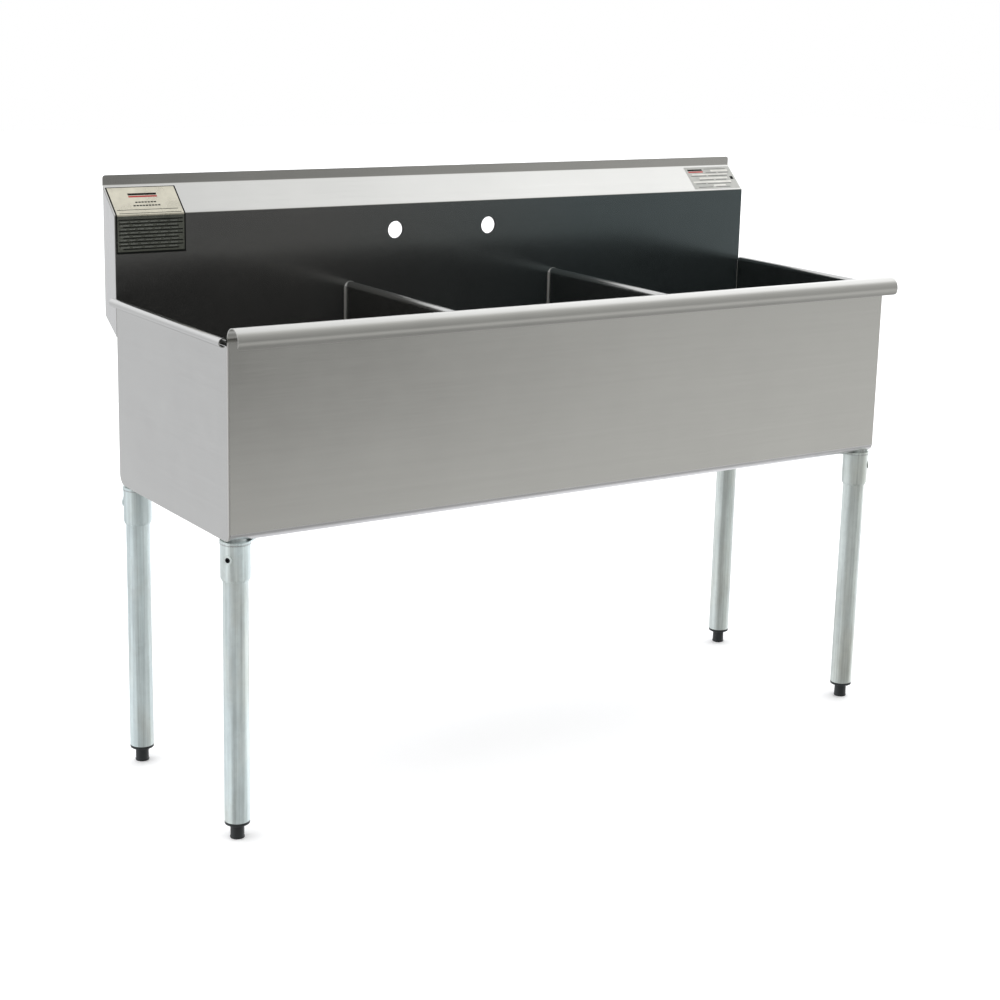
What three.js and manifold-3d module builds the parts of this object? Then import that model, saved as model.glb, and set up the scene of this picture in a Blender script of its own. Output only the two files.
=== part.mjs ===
// A three compartment restaurant sink: three bowls of bent stainless sheet on four tube legs.
// Millimetres, +Z up, +X along the row of bowls, +Y towards the wall behind the sink.
// The origin is on the floor, below the middle of the sink's outline.
import * as THREE from "three";
import { mergeVertices } from "three/addons/utils/BufferGeometryUtils.js";
import Module from "manifold-3d";

const wasm = await Module();
wasm.setup();

// ---------- Driving dimensions ----------

const gap = 0.3; // clearance kept between neighbouring pieces
const sheet = 1.5; // thickness of the stainless sheet
const halfSheet = sheet / 2;
const roundSegments = 24; // sides of a full circle; the same on all, so nested pieces keep their gap

const tubLength = 1372; // outside of the left end wall to outside of the right one
const tubDepth = 432; // outside of the front wall to the face of the splash
const frontBendRadius = 15; // centreline radius between front wall and bowl bottoms
const backBendRadius = 20; // centreline radius between bowl bottoms and back wall

const bottomHeight = 505; // underside of the bowls above the floor
const frontRimHeight = 850; // top of the rolled front rim
const sideRimHeight = 832; // top of the side rims and of the dividers
const rollOverhang = 38.1; // how far the front rim stands out in front of the front wall
const lipCurlRadius = 25; // centreline radius of the front rim's lip, which turns back inwards
const lipCurlAngle = 28; // degrees that the lip turns through

const splashFaceTop = 971; // where the splash face turns back into the slope
const splashReturn = 50.8; // depth of the slope, face to back
const slopeTop = 1017.5; // where the slope turns up into the upstand
const splashBendRadius = 3; // centreline radius of the slope's two bends
const upstandTop = 1034.5; // top edge of the upstand, the highest point

const dividerCentres = [452, 902]; // from the outside of the left end wall
const dividerThickness = 19;
const sideRimDiameter = 15; // outside diameter of the rolled side rims
const sideRimOpening = 60; // degrees of the side rim's curl left open at its lower inner side

const endCapBackBottom = 796; // lower end of a splash end cap at its back edge
const endCapFrontBottom = 764; // lower end of a splash end cap at its front edge
const endCapFlange = 12; // inward flange along an end cap's back edge
const endCapTopGap = 1; // extra room under the slope's bends

const faucetHoleDiameter = 32;
const faucetHoleSpacing = 203.2; // 8 inch centres
const faucetHoleHeight = 924;
const faucetMiddle = 648; // from the outside of the left end wall

const legDiameter = 41.3; // 1-5/8 inch galvanised tube
const legWall = 1.6;
const legInsetX = 22; // leg axis from the outside of an end wall
const legInsetY = 23; // leg axis from the front wall, and from the splash face
const legBottom = 30; // lower end of the leg tube above the floor
const plateThickness = 4; // mounting plate welded under each bowl corner
const plateMargin = 1; // how far the plate stands out round its socket
const plateReach = 62; // from the leg axis to the plate's inner end, towards the bowl's middle
const plateCornerCut = 12; // chamfer of the plate's two inner corners
const socketDiameter = 48.3;
const socketLength = 62;
const socketTaper = 5; // height of the chamfer at the socket's lower end
const setScrewDrop = 28; // set screw axis below the mounting plate
const setScrewAngle = 35; // degrees between the set screw's axis and the X axis
const setScrewDiameter = 8;
const setScrewHex = 4; // across the flats of the set screw's hexagon socket

const footDiameter = 23;
const footRingDiameter = 24.4;
const footRingHeight = 3;
const studDiameter = 12;
const studLength = 46; // leaves 10 mm in the insert with the foot screwed out by 25 mm
const studSeat = 9; // how far the stud reaches down into the shoe
const insertHeight = 50; // length of the plastic insert inside the leg
const insertFlangeHeight = 5;
const insertNoseDiameter = 30; // lower end of the insert's bevelled flange

const drainHoleDiameter = 89; // 3-1/2 inch sink opening
const drainFlangeDiameter = 114;
const drainFlangeThickness = 1.6;
const drainCupDepth = 46; // strainer cup below its flange
const drainWall = 2;
const spigotDiameter = 47;
const spigotBottomDepth = 58; // lower end of the outlet spigot below the flange
const crossBarWidth = 3;
const gasketThickness = 3;
const washerThickness = 1.5;
const locknutHeight = 9;
const locknutDiameter = 108;
const locknutLugs = 6;
const basketDepth = 30;
const basketKnobHeight = 14;
const basketSlots = 8;

const leftLabelWidth = 127;
const leftLabelDrop = 66; // how far the left label reaches down the splash face
const labelThickness = 0.4;
const rightLabelWidth = 118;
const rightLabelHeight = 58; // measured up the slope
const labelEdgeInset = 2;
const labelEndGap = 5; // left label's upper edge from the slope's upper bend

// ---------- Placement worked out from the dimensions ----------

const left = -tubLength / 2;
const right = tubLength / 2;
const back = (tubDepth + splashReturn + rollOverhang) / 2; // back of the whole sink
const face = back - splashReturn; // plane of the splash face
const front = face - tubDepth; // outside of the front wall
const bowlFloor = bottomHeight + sheet; // inside bottom of the bowls
const middleDepth = (front + face) / 2;
const dividerX = dividerCentres.map((distance) => left + distance);
const bowlEdges = [left, ...dividerX, right];
const bowlX = [0, 1, 2].map((i) => (bowlEdges[i] + bowlEdges[i + 1]) / 2);
const slopeRun = splashReturn - sheet; // between the middle planes of the face and the upstand
const slopeRise = slopeTop - splashFaceTop;
const slopeAngle = Math.atan2(slopeRise, slopeRun);
const slopeLength = Math.hypot(slopeRise, slopeRun);
const curlRadius = sideRimDiameter / 2 - halfSheet; // centreline radius of a side rim
const curlHeight = sideRimHeight - sideRimDiameter / 2;

// ---------- Materials ----------

const steel = (color, roughness) =>
  new THREE.MeshStandardMaterial({ color, roughness, metalness: 1 });
const stainless = steel(0xb4b4b0, 0.35);
const polished = steel(0xc4c6c8, 0.2);
const galvanised = steel(0xb9c4c4, 0.5);
const blackOxide = steel(0x2a2a2a, 0.5);
const plastic = (color, roughness) =>
  new THREE.MeshStandardMaterial({ color, roughness, metalness: 0 });
const blackPlastic = plastic(0x1c1f20, 0.55);
const rubber = plastic(0x202020, 0.85);
const fibre = plastic(0xd8d2c0, 0.9);
const clearFilm = plastic(0x777a70, 0.4);
const silverFilm = plastic(0xc9cbd0, 0.4);

// ---------- Solids ----------

// A closed three.js geometry as a solid that can be joined and cut.
function solid(geometry) {
  const positions = geometry.clone();
  positions.deleteAttribute("normal");
  positions.deleteAttribute("uv");
  const merged = mergeVertices(positions, 1e-4);
  const vertProperties = merged.attributes.position.array;
  const triVerts = new Uint32Array(merged.index.array);
  return new wasm.Manifold(new wasm.Mesh({ numProp: 3, vertProperties, triVerts }));
}

// A solid back as a three.js geometry.
function geometry(body) {
  const mesh = body.getMesh();
  const made = new THREE.BufferGeometry();
  made.setAttribute("position", new THREE.BufferAttribute(mesh.vertProperties, 3));
  made.setIndex(new THREE.BufferAttribute(mesh.triVerts, 1));
  made.computeVertexNormals();
  return made;
}

// A straight box between two corners.
function box(low, high) {
  const size = high.map((value, i) => value - low[i]);
  const middle = high.map((value, i) => (value + low[i]) / 2);
  return solid(new THREE.BoxGeometry(...size).translate(...middle));
}

// An outline extruded between two depths, then turned so its axes become the named row axes.
function extrude(points, start, end, axes) {
  const shape = new THREE.Shape(points);
  const made = new THREE.ExtrudeGeometry(shape, { depth: end - start, bevelEnabled: false });
  made.translate(0, 0, start);
  return solid(made.applyMatrix4(new THREE.Matrix4().makeBasis(...axes)));
}

const unitX = new THREE.Vector3(1, 0, 0);
const unitY = new THREE.Vector3(0, 1, 0);
const unitZ = new THREE.Vector3(0, 0, 1);

// An outline in Y and Z, extruded along X.
const alongX = (points, start, end) => extrude(points, start, end, [unitY, unitZ, unitX]);

// An outline in X and Z, extruded along Y.
function alongY(points, start, end) {
  const towardsFront = unitY.clone().negate();
  return extrude(points, -end, -start, [unitX, unitZ, towardsFront]);
}

// An outline in X and Y, extruded along Z.
const alongZ = (points, start, end) => extrude(points, start, end, [unitX, unitY, unitZ]);

// A closed profile of [radius, height] pairs turned round the Z axis at (x, y).
function turned(profile, x, y) {
  const points = profile.map(([radius, height]) => new THREE.Vector2(radius, height));
  const lathe = new THREE.LatheGeometry(points, roundSegments);
  return solid(lathe.rotateX(Math.PI / 2).translate(x, y, 0));
}

// A tube standing on Z, from low to high.
function tube(outer, inner, low, high, x, y) {
  const profile = [[inner, low], [outer, low], [outer, high], [inner, high], [inner, low]];
  return turned(profile, x, y);
}

// A solid cylinder with its axis along Z, from low to high.
function rod(radius, low, high, x, y) {
  return turned([[0, low], [radius, low], [radius, high], [0, high]], x, y);
}

// Points on an arc, from one angle to another, both in degrees.
function arc(centreX, centreY, radius, from, to, stepDegrees = 10) {
  const steps = Math.max(2, Math.ceil(Math.abs(to - from) / stepDegrees));
  return Array.from({ length: steps + 1 }, (_, i) => {
    const angle = THREE.MathUtils.degToRad(from + ((to - from) * i) / steps);
    const x = centreX + radius * Math.cos(angle);
    return new THREE.Vector2(x, centreY + radius * Math.sin(angle));
  });
}

// A polyline with each inner corner rounded to the radius given with it.
function roundedPath(corners) {
  const path = [];
  corners.forEach(([x, y, radius], i) => {
    const corner = new THREE.Vector2(x, y);
    if (!radius) {
      path.push(corner);
      return;
    }
    const before = new THREE.Vector2(corners[i - 1][0], corners[i - 1][1]).sub(corner).normalize();
    const after = new THREE.Vector2(corners[i + 1][0], corners[i + 1][1]).sub(corner).normalize();
    const halfAngle = Math.acos(before.dot(after)) / 2;
    const bisector = before.clone().add(after).normalize();
    const centre = corner.clone().addScaledVector(bisector, radius / Math.sin(halfAngle));
    const tangent = radius / Math.tan(halfAngle);
    const start = corner.clone().addScaledVector(before, tangent).sub(centre).angle();
    const end = corner.clone().addScaledVector(after, tangent).sub(centre).angle();
    const turn = THREE.MathUtils.euclideanModulo(end - start + Math.PI, 2 * Math.PI) - Math.PI;
    const degrees = THREE.MathUtils.radToDeg;
    path.push(...arc(centre.x, centre.y, radius, degrees(start), degrees(start + turn)));
  });
  return path;
}

// A path moved sideways by a distance, to its left as it runs.
function offsetPath(path, distance) {
  return path.map((point, i) => {
    const before = path[Math.max(i - 1, 0)];
    const after = path[Math.min(i + 1, path.length - 1)];
    const incoming = (i ? point.clone().sub(before) : after.clone().sub(point)).normalize();
    const outgoing = (i < path.length - 1 ? after.clone().sub(point) : incoming.clone()).normalize();
    const along = incoming.clone().add(outgoing).normalize();
    const reach = distance / along.dot(incoming);
    return new THREE.Vector2(point.x - along.y * reach, point.y + along.x * reach);
  });
}

// The outline of a bent sheet that has the path as its centreline.
function sheetOutline(path, thickness) {
  return [...offsetPath(path, -thickness / 2), ...offsetPath(path, thickness / 2).reverse()];
}

// ---------- The group ----------

const sink = new THREE.Group();

function add(name, body, material) {
  const mesh = new THREE.Mesh(geometry(body), material);
  mesh.name = name;
  sink.add(mesh);
}

// ---------- Tub sheet: front rim, front wall, bottoms, back wall, splash, slope, upstand ----------

const rollRadius = (rollOverhang + sheet) / 2 - halfSheet; // centreline radius of the front rim
const rollCentreY = front + sheet - halfSheet - rollRadius;
const rollCentreZ = frontRimHeight - halfSheet - rollRadius;
const lipCurlCentreY = rollCentreY - rollRadius + lipCurlRadius;
const lip = arc(lipCurlCentreY, rollCentreZ, lipCurlRadius, 180 + lipCurlAngle, 180);
const tubPath = [
  ...lip.slice(0, -1),
  ...arc(rollCentreY, rollCentreZ, rollRadius, 180, 0),
  ...roundedPath([
    [front + halfSheet, rollCentreZ - 20],
    [front + halfSheet, bottomHeight + halfSheet, frontBendRadius],
    [face + halfSheet, bottomHeight + halfSheet, backBendRadius],
    [face + halfSheet, splashFaceTop, splashBendRadius],
    [back - halfSheet, slopeTop, splashBendRadius],
    [back - halfSheet, upstandTop],
  ]),
];
const faucetHoleX = [-1, 1].map((side) => left + faucetMiddle + (side * faucetHoleSpacing) / 2);

function tubSheet() {
  let body = alongX(sheetOutline(tubPath, sheet), left, right);
  for (const x of faucetHoleX) {
    const radius = faucetHoleDiameter / 2;
    const hole = arc(x, faucetHoleHeight, radius, 0, 345, 15);
    body = body.subtract(alongY(hole, face - 5, face + 5));
  }
  for (const x of bowlX) {
    const low = bottomHeight - 5;
    body = body.subtract(rod(drainHoleDiameter / 2, low, bowlFloor + 5, x, middleDepth));
  }
  return body;
}
add("tub_sheet", tubSheet(), stainless);

// The space inside the tub sheet, as deep as an end wall or a divider may reach.
const insideTub = alongX(
  roundedPath([
    [front + sheet + gap, sideRimHeight + 10],
    [front + sheet + gap, bowlFloor + gap, frontBendRadius - halfSheet - gap],
    [face - gap, bowlFloor + gap, backBendRadius - halfSheet - gap],
    [face - gap, sideRimHeight + 10],
  ]),
  left - sideRimDiameter,
  right + sideRimDiameter,
);

// ---------- End walls with their rolled side rims ----------

// side is -1 for the left wall and +1 for the right one.
function endWall(side) {
  const wallX = side * (right - halfSheet);
  const curlX = wallX + side * curlRadius;
  const curl = side < 0 ? arc(curlX, curlHeight, curlRadius, 0, 360 - sideRimOpening)
    : arc(curlX, curlHeight, curlRadius, 180, sideRimOpening - 180);
  const wall = box(
    [Math.min(wallX - halfSheet, wallX + halfSheet), front, bowlFloor - sheet],
    [Math.max(wallX - halfSheet, wallX + halfSheet), face, curlHeight],
  );
  const curlBody = alongY(sheetOutline(curl, sheet), front + sheet + gap, face - gap);
  return wall.intersect(insideTub).add(curlBody);
}
add("end_wall_left", endWall(-1), stainless);
add("end_wall_right", endWall(1), stainless);

// ---------- Dividers: one folded sheet each, open at the bottom ----------

function divider(x) {
  const radius = dividerThickness / 2 - halfSheet;
  const foldZ = sideRimHeight - halfSheet - radius;
  const path = [
    new THREE.Vector2(x + radius, bowlFloor),
    ...arc(x, foldZ, radius, 0, 180, 15),
    new THREE.Vector2(x - radius, bowlFloor),
  ];
  return alongY(sheetOutline(path, sheet), front, face).intersect(insideTub);
}
add("divider_left", divider(dividerX[0]), stainless);
add("divider_right", divider(dividerX[1]), stainless);

// ---------- Splash end caps: a plate under each end of the slope, with a back flange ----------

function endCap(side) {
  const outside = side * right;
  const plateInside = outside - side * sheet;
  const flangeInside = outside - side * endCapFlange;
  const low = endCapFrontBottom - 1;
  const span = (a, b) => [Math.min(a, b), Math.max(a, b)];
  const [plateLow, plateHigh] = span(outside, plateInside);
  const [flangeLow, flangeHigh] = span(outside, flangeInside);
  const plate = box([plateLow, face, low], [plateHigh, back, upstandTop]);
  const flange = box([flangeLow, back - sheet, low], [flangeHigh, back, upstandTop]);
  const underSlope = (halfSheet + gap) / Math.cos(slopeAngle); // from the slope's middle plane
  const slopeHeight = (y) => splashFaceTop + ((y - face - halfSheet) * slopeRise) / slopeRun;
  const capFront = face + sheet + gap;
  const outline = [
    new THREE.Vector2(capFront, endCapFrontBottom),
    new THREE.Vector2(back, endCapBackBottom),
    new THREE.Vector2(back, slopeHeight(back - sheet) - underSlope - endCapTopGap),
    new THREE.Vector2(back - sheet, slopeHeight(back - sheet) - underSlope - endCapTopGap),
    new THREE.Vector2(capFront, slopeHeight(capFront) - underSlope - endCapTopGap),
  ];
  return plate.add(flange).intersect(alongX(outline, left, right));
}
add("splash_end_cap_left", endCap(-1), stainless);
add("splash_end_cap_right", endCap(1), stainless);

// ---------- Legs, with their plates, sockets, set screws, inserts and feet ----------

const plateTop = bottomHeight - gap;
const plateBottom = plateTop - plateThickness;
const socketTop = plateBottom - gap;
const socketBottom = socketTop - socketLength;
const socketRadius = socketDiameter / 2;
const legRadius = legDiameter / 2;
const socketBore = legRadius + gap;
const screwZ = plateTop - setScrewDrop;
const insertFlangeBottom = legBottom - gap - insertFlangeHeight;
const studRadius = studDiameter / 2;

const corners = [
  { name: "front_left", sideX: -1, sideY: -1 },
  { name: "front_right", sideX: 1, sideY: -1 },
  { name: "back_left", sideX: -1, sideY: 1 },
  { name: "back_right", sideX: 1, sideY: 1 },
];

// A plate round outside the socket, which reaches in under the bowl with its corners cut off.
function mountingPlate({ x, y, sideX, sideY }) {
  const outwards = THREE.MathUtils.radToDeg(Math.atan2(sideY, sideX));
  const rim = arc(x, y, socketRadius + plateMargin, outwards - 90, outwards + 90);
  const inwards = new THREE.Vector2(-sideX, -sideY).normalize();
  const across = rim.at(-1).clone().sub(rim[0]).normalize();
  const inner = (start, reach, side) =>
    start.clone().addScaledVector(inwards, reach).addScaledVector(across, side);
  const outline = [
    ...rim,
    inner(rim.at(-1), plateReach - plateCornerCut, 0),
    inner(rim.at(-1), plateReach, -plateCornerCut),
    inner(rim[0], plateReach, plateCornerCut),
    inner(rim[0], plateReach - plateCornerCut, 0),
  ];
  return alongZ(outline, plateBottom, plateTop);
}

// A rod from the leg's axis out through the socket wall, along the set screw's axis.
function acrossSocket(radius, from, to, { x, y, sideX, sideY }, segments) {
  const angle = THREE.MathUtils.degToRad(setScrewAngle);
  const direction = new THREE.Vector3(sideX * Math.cos(angle), sideY * Math.sin(angle), 0);
  const cylinder = new THREE.CylinderGeometry(radius, radius, to - from, segments);
  const turn = new THREE.Quaternion().setFromUnitVectors(unitY, direction);
  const middle = direction.clone().multiplyScalar((from + to) / 2);
  cylinder.applyQuaternion(turn).translate(middle.x + x, middle.y + y, screwZ);
  return solid(cylinder);
}

function socket(leg) {
  const profile = [
    [socketBore, socketBottom],
    [socketBore + 0.8, socketBottom],
    [socketRadius, socketBottom + socketTaper],
    [socketRadius, socketTop],
    [socketBore, socketTop],
    [socketBore, socketBottom],
  ];
  const body = turned(profile, leg.x, leg.y);
  const boss = acrossSocket(setScrewDiameter, socketBore + 1, socketRadius + 1.2, leg, 16);
  const bore = acrossSocket(setScrewDiameter / 2 + gap, 0, socketRadius + 5, leg, 12);
  return body.add(boss).subtract(bore);
}

function setScrew(leg) {
  const body = acrossSocket(setScrewDiameter / 2, legRadius + gap, socketRadius + 1.6, leg, 12);
  const hexCorner = setScrewHex / Math.sqrt(3);
  const hex = acrossSocket(hexCorner, socketRadius - 2, socketRadius + 3, leg, 6);
  return body.subtract(hex);
}

function insert(leg) {
  const sleeve = legRadius - legWall - gap;
  const bore = studRadius + gap;
  const profile = [
    [bore, insertFlangeBottom],
    [insertNoseDiameter / 2, insertFlangeBottom],
    [legRadius, insertFlangeBottom + insertFlangeHeight * 0.7],
    [legRadius, legBottom - gap],
    [sleeve, legBottom - gap],
    [sleeve, legBottom + insertHeight],
    [bore, legBottom + insertHeight],
    [bore, insertFlangeBottom],
  ];
  return turned(profile, leg.x, leg.y);
}

const footTop = insertFlangeBottom - gap;
const studBottom = footTop - studSeat;

function footStud(leg) {
  return rod(studRadius, studBottom, studBottom + studLength, leg.x, leg.y);
}

function footShoe(leg) {
  const socketRadiusInShoe = studRadius + gap;
  const ring = footRingDiameter / 2;
  const barrel = footDiameter / 2;
  const profile = [
    [0, 0],
    [ring - 1, 0],
    [ring, 1],
    [ring, footRingHeight],
    [barrel, footRingHeight + 1],
    [barrel, footTop - 1],
    [barrel - 1, footTop],
    [socketRadiusInShoe, footTop],
    [socketRadiusInShoe, studBottom - gap],
    [0, studBottom - gap],
  ];
  return turned(profile, leg.x, leg.y);
}

for (const corner of corners) {
  const x = corner.sideX * (right - legInsetX);
  const y = middleDepth + corner.sideY * (tubDepth / 2 - legInsetY);
  const leg = { ...corner, x, y };
  const legTop = socketTop - 2;
  add(`leg_plate_${corner.name}`, mountingPlate(leg), galvanised);
  add(`leg_socket_${corner.name}`, socket(leg), galvanised);
  add(`set_screw_${corner.name}`, setScrew(leg), blackOxide);
  add(`leg_${corner.name}`, tube(legRadius, legRadius - legWall, legBottom, legTop, x, y), galvanised);
  add(`foot_insert_${corner.name}`, insert(leg), blackPlastic);
  add(`foot_stud_${corner.name}`, footStud(leg), blackPlastic);
  add(`foot_shoe_${corner.name}`, footShoe(leg), blackPlastic);
}

// ---------- Drains: strainer body, gasket, washer, locknut and lift-out basket ----------

const flangeBottom = bowlFloor + gap;
const flangeTop = flangeBottom + drainFlangeThickness;
const cupRadius = drainHoleDiameter / 2 - 2;
const cupInside = cupRadius - drainWall;
const cupBottom = flangeTop - drainCupDepth;
const spigotRadius = spigotDiameter / 2;
const spigotBottom = flangeTop - spigotBottomDepth;

function drainBody(x) {
  const profile = [
    [spigotRadius - drainWall, spigotBottom],
    [spigotRadius, spigotBottom],
    [spigotRadius, cupBottom],
    [cupRadius - 6, cupBottom],
    [cupRadius, cupBottom + 6],
    [cupRadius, flangeBottom],
    [drainFlangeDiameter / 2, flangeBottom],
    [drainFlangeDiameter / 2 - 2, flangeTop],
    [cupInside + 2, flangeTop],
    [cupInside, flangeTop - 2],
    [cupInside, cupBottom + 8],
    [cupInside - 6, cupBottom + drainWall],
    [spigotRadius - drainWall, cupBottom + drainWall],
    [spigotRadius - drainWall, spigotBottom],
  ];
  let body = turned(profile, x, middleDepth);
  const reach = spigotRadius - 1;
  const barLow = cupBottom + 0.2;
  const barHigh = cupBottom + drainWall - 0.2;
  const half = crossBarWidth / 2;
  body = body.add(box([x - reach, middleDepth - half, barLow], [x + reach, middleDepth + half, barHigh]));
  return body.add(box([x - half, middleDepth - reach, barLow], [x + half, middleDepth + reach, barHigh]));
}

function locknut(x, low, high) {
  const inner = cupRadius + gap;
  const outer = locknutDiameter / 2 - 5;
  let body = tube(outer, inner, low, high, x, middleDepth);
  for (let i = 0; i < locknutLugs; i += 1) {
    const angle = (i * 2 * Math.PI) / locknutLugs;
    const lug = new THREE.BoxGeometry(8, 14, high - low);
    lug.translate(outer + 1, 0, (low + high) / 2).rotateZ(angle);
    body = body.add(solid(lug.translate(x, middleDepth, 0)));
  }
  return body;
}

// The basket: a perforated cup with a rim and a centre post that ends in a knob.
function basket(x) {
  const rim = cupInside - 1.5;
  const low = flangeTop - basketDepth;
  const wall = 1.2;
  const knobTop = low + basketDepth + basketKnobHeight;
  const profile = [
    [0, low],
    [rim - 8, low],
    [rim - 5, low + 3],
    [rim - 3, flangeTop - 5],
    [rim, flangeTop - 4],
    [rim, flangeTop - 4 + wall],
    [rim - 3.5 - wall, flangeTop - 5 + wall],
    [rim - 5 - wall, low + 4],
    [rim - 9, low + wall],
    [3, low + wall],
    [3, knobTop - 9],
    [8, knobTop - 6],
    [8, knobTop - 2],
    [6, knobTop],
    [0, knobTop],
  ];
  let body = turned(profile, x, middleDepth);
  for (let i = 0; i < basketSlots; i += 1) {
    const angle = (i * 2 * Math.PI) / basketSlots;
    const slot = new THREE.BoxGeometry(14, 3.5, wall * 4);
    slot.translate(rim - 19, 0, low).rotateZ(angle);
    body = body.subtract(solid(slot.translate(x, middleDepth, 0)));
  }
  return body;
}

const gasketTop = bottomHeight - gap;
const gasketBottom = gasketTop - gasketThickness;
const washerTop = gasketBottom - gap;
const washerBottom = washerTop - washerThickness;
const locknutTop = washerBottom - gap;

["left", "middle", "right"].forEach((name, i) => {
  const x = bowlX[i];
  const inner = cupRadius + gap;
  const outer = locknutDiameter / 2;
  add(`drain_body_${name}`, drainBody(x), polished);
  add(`drain_gasket_${name}`, tube(outer, inner, gasketBottom, gasketTop, x, middleDepth), rubber);
  add(`drain_washer_${name}`, tube(outer - 1, inner, washerBottom, washerTop, x, middleDepth), fibre);
  add(`drain_locknut_${name}`, locknut(x, locknutTop - locknutHeight, locknutTop), polished);
  add(`drain_basket_${name}`, basket(x), polished);
});

// ---------- Labels: thin films stuck on the splash ----------

const slopeStart = new THREE.Vector2(face + halfSheet, splashFaceTop);
const alongSlope = new THREE.Vector2(Math.cos(slopeAngle), Math.sin(slopeAngle));
const onSlope = (distance) => slopeStart.clone().addScaledVector(alongSlope, distance);

// A film that follows a path on the sheet's middle plane, on its outer side.
function label(path, low, high) {
  const film = offsetPath(path, halfSheet + gap + labelThickness / 2);
  return alongX(sheetOutline(film, labelThickness), low, high);
}

// The left film covers the slope and folds down on to the splash face.
function leftLabel() {
  const foldEnd = onSlope(slopeLength - labelEndGap);
  const path = roundedPath([
    [face + halfSheet, splashFaceTop - leftLabelDrop],
    [face + halfSheet, splashFaceTop, splashBendRadius],
    [foldEnd.x, foldEnd.y],
  ]);
  const low = left + labelEdgeInset;
  return label(path, low, low + leftLabelWidth);
}

// The right film lies on the slope only.
function rightLabel() {
  const margin = (slopeLength - rightLabelHeight) / 2;
  const high = right - labelEdgeInset;
  return label([onSlope(margin), onSlope(margin + rightLabelHeight)], high - rightLabelWidth, high);
}
add("label_left", leftLabel(), clearFilm);
add("label_right", rightLabel(), silverFilm);

export default sink;
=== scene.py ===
"""Looks of a three compartment restaurant sink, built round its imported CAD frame.

Metres, +Z up, +X along the row of bowls, +Y towards the wall behind the sink.
"""
import math

import bmesh
import bpy
from mathutils import Matrix, Vector


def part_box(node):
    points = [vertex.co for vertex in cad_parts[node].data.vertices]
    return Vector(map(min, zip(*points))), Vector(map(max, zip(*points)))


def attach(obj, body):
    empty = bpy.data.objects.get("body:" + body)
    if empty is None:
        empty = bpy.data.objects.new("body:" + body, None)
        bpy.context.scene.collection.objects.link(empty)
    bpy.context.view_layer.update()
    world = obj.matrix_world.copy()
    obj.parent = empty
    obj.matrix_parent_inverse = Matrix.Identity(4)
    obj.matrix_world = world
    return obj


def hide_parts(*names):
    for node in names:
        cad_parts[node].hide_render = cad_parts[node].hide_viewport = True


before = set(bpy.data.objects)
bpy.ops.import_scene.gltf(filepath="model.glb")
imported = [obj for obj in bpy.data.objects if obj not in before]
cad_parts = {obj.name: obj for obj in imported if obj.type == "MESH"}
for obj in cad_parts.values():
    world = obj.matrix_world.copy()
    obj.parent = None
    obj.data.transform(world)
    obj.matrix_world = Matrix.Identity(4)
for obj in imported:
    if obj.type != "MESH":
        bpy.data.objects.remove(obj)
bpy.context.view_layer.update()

MM = 0.001

# ---------- Camera ----------

CAMERA_PLACE = Vector((-1.980, -2.942, 1.3685))
CAMERA_YAW = math.radians(34.94)  # turned from +Y towards +X
CAMERA_PITCH = math.radians(13.19)  # looking down
CAMERA_ROLL = math.radians(-1.72)
CAMERA_LENS = 71.2
CAMERA_SHIFT = (-0.05, -0.05)

# ---------- Sheet metal sizes ----------

SHEET = 1.5 * MM
HALF = SHEET / 2
DIVIDER_SHEET = 1.2 * MM
FRONT_BEND = 15 * MM
BACK_BEND = 20 * MM
SPLASH_BEND = 3 * MM
SIDE_RIM = 15 * MM  # outside diameter of the rolled side rims
SIDE_RIM_TURN = 300  # degrees that a side rim's curl turns through
SPLASH_RETURN = 50.8 * MM
CORNER_RADIUS = 2.2 * MM  # of the welded corners between an end wall and the tub
BACK_CORNER_RADIUS = 1.4 * MM
CORNER_CHANGE = (100 * MM, 190 * MM)  # where the corners' radius changes, along Y
COVE_RADIUS = 4 * MM  # of the ground welds round a divider
UPSTAND_CORNER = 5 * MM
LIP_CORNER = 6 * MM
CORNER_STRIP = 12 * MM  # width of the strip of faces beside each end of the tub
HOLE_SHADE_DEPTH = 4.5 * MM  # depth of the dark ring of painted shade behind a faucet hole
ARC_STEP = 6  # degrees between the points of a bend

tub_low, tub_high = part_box("tub_sheet")
wall_low, wall_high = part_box("end_wall_left")
LEFT, RIGHT = tub_low.x, tub_high.x
LIP_Y, BACK = tub_low.y, tub_high.y
BOTTOM, UPSTAND_TOP = tub_low.z, tub_high.z
FACE = BACK - SPLASH_RETURN
FRONT = wall_low.y - SHEET - 0.3 * MM
FLOOR = BOTTOM + SHEET
MIDDLE = (FRONT + FACE) / 2
SIDE_RIM_TOP = wall_high.z
CURL_Z = SIDE_RIM_TOP - SIDE_RIM / 2
FRONT_RIM_TOP = 850 * MM
ROLL = (FRONT - LIP_Y + SHEET) / 2 - HALF  # centreline radius of the front rim
ROLL_Y = FRONT + HALF - ROLL
ROLL_Z = FRONT_RIM_TOP - HALF - ROLL
LIP_CURL = 25 * MM  # radius of the front rim's lip, which turns back inwards
LIP_TURN = 28  # degrees
LIP_STEPS = 5
SPLASH_TOP = 971 * MM
SLOPE_TOP = 1017.5 * MM


def middle_of(node):
    low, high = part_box(node)
    return (low + high) / 2


DIVIDER_X = [middle_of(f"divider_{side}").x for side in ("left", "right")]
DIVIDER_HALF = (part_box("divider_left")[1].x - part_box("divider_left")[0].x) / 2
BOWLS = {name: middle_of(f"drain_body_{name}").x for name in ("left", "middle", "right")}
DRAIN_HOLE = 89 * MM
BASKET_HOLE = 4.4 * MM
LOCKNUT_RADIUS = 49 * MM
NUT_BORE = DRAIN_HOLE / 2 - 1.7 * MM  # radius of what fits round a strainer body
FAUCET_HOLE = 32 * MM
FAUCET_Z = 924 * MM
FAUCET_X = [LEFT + (648 + side * 101.6) * MM for side in (-1, 1)]
LEGS = ("front_left", "front_right", "back_left", "back_right")

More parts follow.
